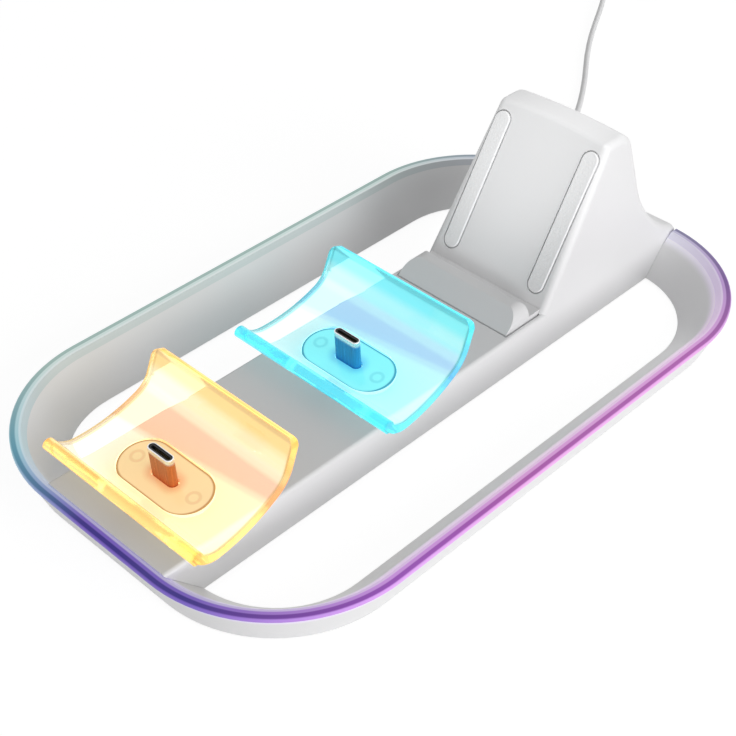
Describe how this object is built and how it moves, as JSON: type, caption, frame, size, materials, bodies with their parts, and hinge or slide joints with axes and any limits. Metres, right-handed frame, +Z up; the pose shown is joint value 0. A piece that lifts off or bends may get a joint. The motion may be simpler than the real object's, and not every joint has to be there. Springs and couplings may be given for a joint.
{
  "type": "controller charging dock",
  "caption": "Low charging dock: a bridge across a lit oval ring carries clear tinted troughs with upright plugs and a sloping stand with a ledge.",
  "frame": {"origin": "table level, under the middle of the ring", "axes": "+X along the bridge towards the stand, +Y to the far side of the ring, +Z up"},
  "size_m": [0.3786, 0.1751, 0.055],
  "materials": {
    "ring_white": "white satin moulding",
    "guide_lit": "milky light guide, lit violet to pale blue",
    "housing_white": "white fine satin moulding",
    "ledge_white": "white fine satin moulding",
    "grip_rubber": "pale grained soft rubber",
    "clear_amber": "clear tinted moulding",
    "clear_cyan": "clear tinted moulding",
    "pad_amber": "clear tinted moulding",
    "pad_cyan": "clear tinted moulding",
    "plug_metal": "bright drawn sleeve",
    "liner_black": "matt",
    "board_green": "coated board",
    "board_white": "white coated strip",
    "screw_steel": "plated",
    "cover_white": "fine matt",
    "foot_rubber": "pale matt",
    "cord_white": "smooth satin jacket",
    "tie_white": "woven strap",
    "plug_white": "fine matt",
    "insert_black": "smooth matt"
  },
  "bodies": {
    "root": {"ring_frame": "ring_white", "light_guide": "guide_lit", "dock_housing": "housing_white", "rest_ledge": "ledge_white", "grip_strip_left": "grip_rubber", "grip_strip_right": "grip_rubber", "cradle_amber": "clear_amber", "cradle_cyan": "clear_cyan", "plug_pad_amber": "pad_amber", "plug_pad_cyan": "pad_cyan", "plug_shell_amber": "plug_metal", "plug_shell_cyan": "plug_metal", "plug_core_amber": "liner_black", "plug_core_cyan": "liner_black", "cradle_screws": "screw_steel", "power_cord": "cord_white", "led_strip": "board_white", "ring_cover": "cover_white", "base_plate": "cover_white", "control_board": "board_green", "plug_board_amber": "board_green", "plug_board_cyan": "board_green", "base_screws": "screw_steel", "rubber_feet": "foot_rubber", "strain_relief": "cord_white", "cord_coil": "cord_white", "cord_tie": "tie_white", "cord_tail": "cord_white", "usb_plug_body": "plug_white", "usb_plug_shell": "plug_metal", "usb_plug_insert": "insert_black"}
  },
  "joints": []
}
